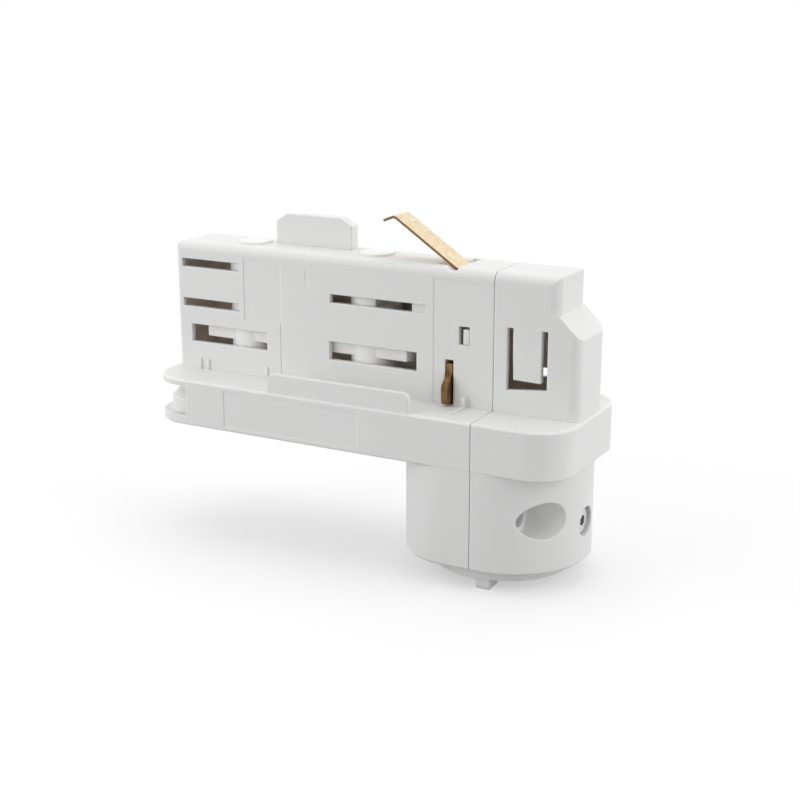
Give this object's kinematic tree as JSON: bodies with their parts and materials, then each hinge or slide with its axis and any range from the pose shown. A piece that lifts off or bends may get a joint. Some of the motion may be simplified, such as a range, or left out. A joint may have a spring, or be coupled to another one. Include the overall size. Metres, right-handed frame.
{
  "type": "track light adapter",
  "caption": "Lighting-track adapter: slim slotted insert on a flange, turning contact rotors, sprung earth strip and a round boss with a swivelling stem bush for a spotlight.",
  "frame": {"origin": "on the stem axis in the centre plane, at the flange face that seats against the track", "axes": "+Z into the track, +X from the stem axis to the boss end, so the long insert reaches to -X; Y across the track"},
  "size_m": [0.0954, 0.033, 0.0706],
  "materials": {
    "white_plastic": "satin",
    "rotor_plastic": "satin",
    "pale_plastic": "matt",
    "brass": "bright",
    "dark_brass": "dark",
    "steel": "zinc plated"
  },
  "bodies": {
    "housing": {"main_housing": "white_plastic", "end_housing": "white_plastic", "base_cover": "white_plastic", "cover_screws": "steel", "housing_screws": "steel", "earth_strap": "brass", "phase_bus": "brass", "neutral_bus": "brass", "terminal_block": "pale_plastic", "terminal_clamps": "brass", "terminal_screws": "steel", "grub_screw": "steel"},
    "selector": {"selector_rotor": "rotor_plastic", "selector_upper_blade": "brass", "selector_lower_blade": "brass", "selector_ring": "brass", "selector_knob": "white_plastic", "selector_knob_screw": "steel"},
    "locking": {"locking_rotor": "rotor_plastic", "locking_blade": "brass", "locking_ring": "brass", "locking_knob": "white_plastic", "locking_knob_screw": "steel"},
    "earth_strip": {"earth_spring": "brass"},
    "earth_fin": {"earth_side_contact": "dark_brass"},
    "stem": {"stem_bush": "white_plastic", "stem_nut": "brass", "bush_washer": "steel"}
  },
  "joints": [
    {"name": "selector_turn", "type": "hinge", "parent": "housing", "child": "selector", "pos_m": [-0.0593, 0, 0], "axis": [0, 0, 1], "range_deg": [0, 90]},
    {"name": "locking_turn", "type": "hinge", "parent": "housing", "child": "locking", "pos_m": [-0.0295, 0, 0], "axis": [0, 0, -1], "range_deg": [0, 90]},
    {"name": "earth_press", "type": "hinge", "parent": "housing", "child": "earth_strip", "pos_m": [-0.009, 0, 0.0267], "axis": [0, -1, 0], "range_deg": [0, 16], "stiffness_Nm_per_rad": 0.05},
    {"name": "fin_press", "type": "slide", "parent": "housing", "child": "earth_fin", "axis": [0, 1, 0], "range_m": [0, 0.002], "stiffness_N_per_m": 200},
    {"name": "stem_swivel", "type": "hinge", "parent": "housing", "child": "stem", "pos_m": [0, 0, -0.0234], "axis": [0, 0, 1], "range_deg": [-175, 175]}
  ]
}
